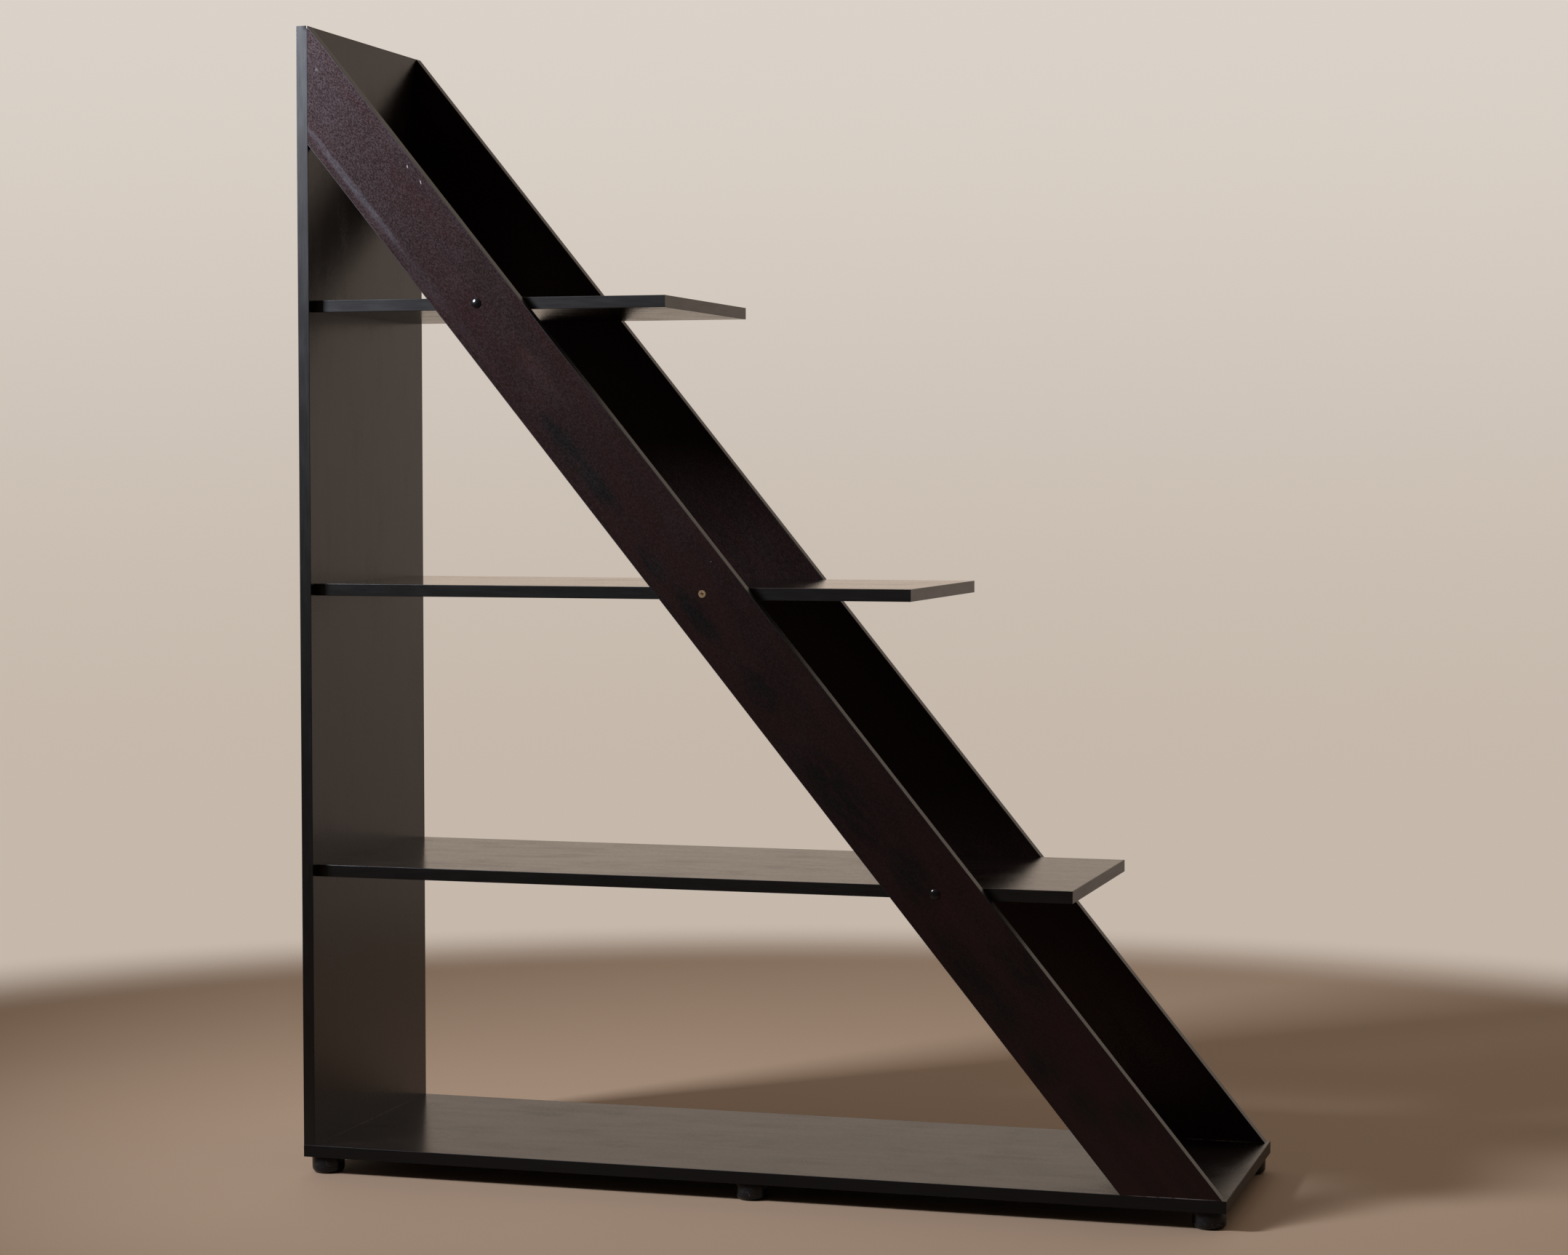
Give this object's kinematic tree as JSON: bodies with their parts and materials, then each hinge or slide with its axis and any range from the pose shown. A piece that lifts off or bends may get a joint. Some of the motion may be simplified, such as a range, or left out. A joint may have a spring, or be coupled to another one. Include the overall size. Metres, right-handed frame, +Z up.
{
  "type": "shelving unit",
  "caption": "Triangular stepped shelving unit: an upright panel and a base board, with shelves of growing length held between two sloping side boards.",
  "frame": {"origin": "on the floor, at the bottom centre of the unit's box, screw caps counted in", "axes": "+X along the shelves, from the upright panel to the base's free end; +Y from the front to the rear; +Z up"},
  "size_m": [1.2524, 0.3948, 1.539],
  "materials": {
    "board_laminate": "dark brown laminated particle board, satin, fine lengthwise grain",
    "edge_band": "dark brown edge banding, satin",
    "foot_plastic": "black moulded plastic, lightly scuffed",
    "zinc_screw": "yellow zinc-plated steel",
    "cap_plastic": "glossy dark moulded plastic",
    "dowel_wood": "plain beech"
  },
  "bodies": {
    "root": {"base_board": "board_laminate", "base_edge_bands": "edge_band", "base_to_diagonal_screws": "zinc_screw", "base_to_upright_screws": "zinc_screw", "diagonal_dowels": "dowel_wood", "foot_front_left": "foot_plastic", "foot_front_middle": "foot_plastic", "foot_front_right": "foot_plastic", "foot_rear_left": "foot_plastic", "foot_rear_middle": "foot_plastic", "foot_rear_right": "foot_plastic", "foot_screws": "zinc_screw", "front_diagonal": "board_laminate", "front_diagonal_edge_bands": "edge_band", "front_diagonal_screws": "zinc_screw", "front_screw_caps": "cap_plastic", "rear_diagonal": "board_laminate", "rear_diagonal_edge_bands": "edge_band", "rear_diagonal_screws": "zinc_screw", "rear_screw_caps": "cap_plastic", "shelf_bottom": "board_laminate", "shelf_bottom_edge_bands": "edge_band", "shelf_dowels": "dowel_wood", "shelf_middle": "board_laminate", "shelf_middle_edge_bands": "edge_band", "shelf_top": "board_laminate", "shelf_top_edge_bands": "edge_band", "upright_dowels": "dowel_wood", "upright_edge_bands": "edge_band", "upright_panel": "board_laminate", "upright_screw_caps": "cap_plastic", "upright_to_diagonal_screws": "zinc_screw", "upright_to_shelf_screws": "zinc_screw"}
  },
  "joints": []
}
